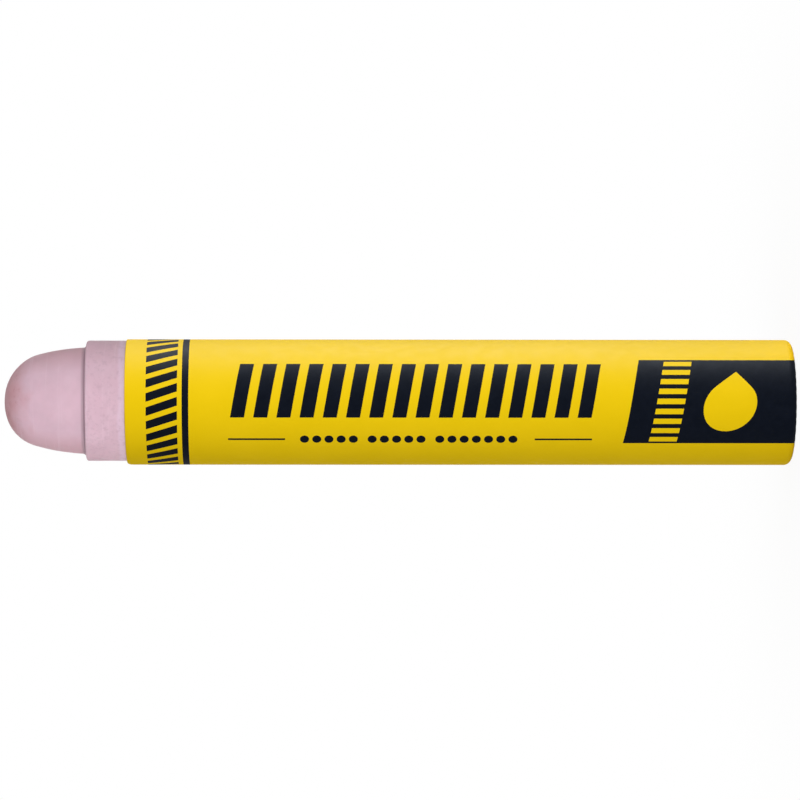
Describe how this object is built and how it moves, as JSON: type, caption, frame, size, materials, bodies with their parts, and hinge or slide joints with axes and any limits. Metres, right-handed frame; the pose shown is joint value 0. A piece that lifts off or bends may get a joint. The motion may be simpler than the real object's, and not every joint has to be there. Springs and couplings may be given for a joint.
{
  "type": "solid paint marker",
  "caption": "Thick stick of solid paint with a rounded writing tip above a shouldered collar, wrapped in a wound yellow paper sleeve with dark printed shapes.",
  "frame": {"origin": "centre of the flat rear end, on the plane that the marker stands on", "axes": "+Z along the marker's axis from the rear end to the tip; +X is up in the picture and -Y faces its viewer"},
  "size_m": [0.0192, 0.0192, 0.1207],
  "materials": {
    "paint": "waxy satin, solid paint of pale pink",
    "sleeve_paper": "coated yellow paper, satin, printed in near-black"
  },
  "bodies": {
    "root": {"solid_paint": "paint", "paper_sleeve": "sleeve_paper"}
  },
  "joints": []
}
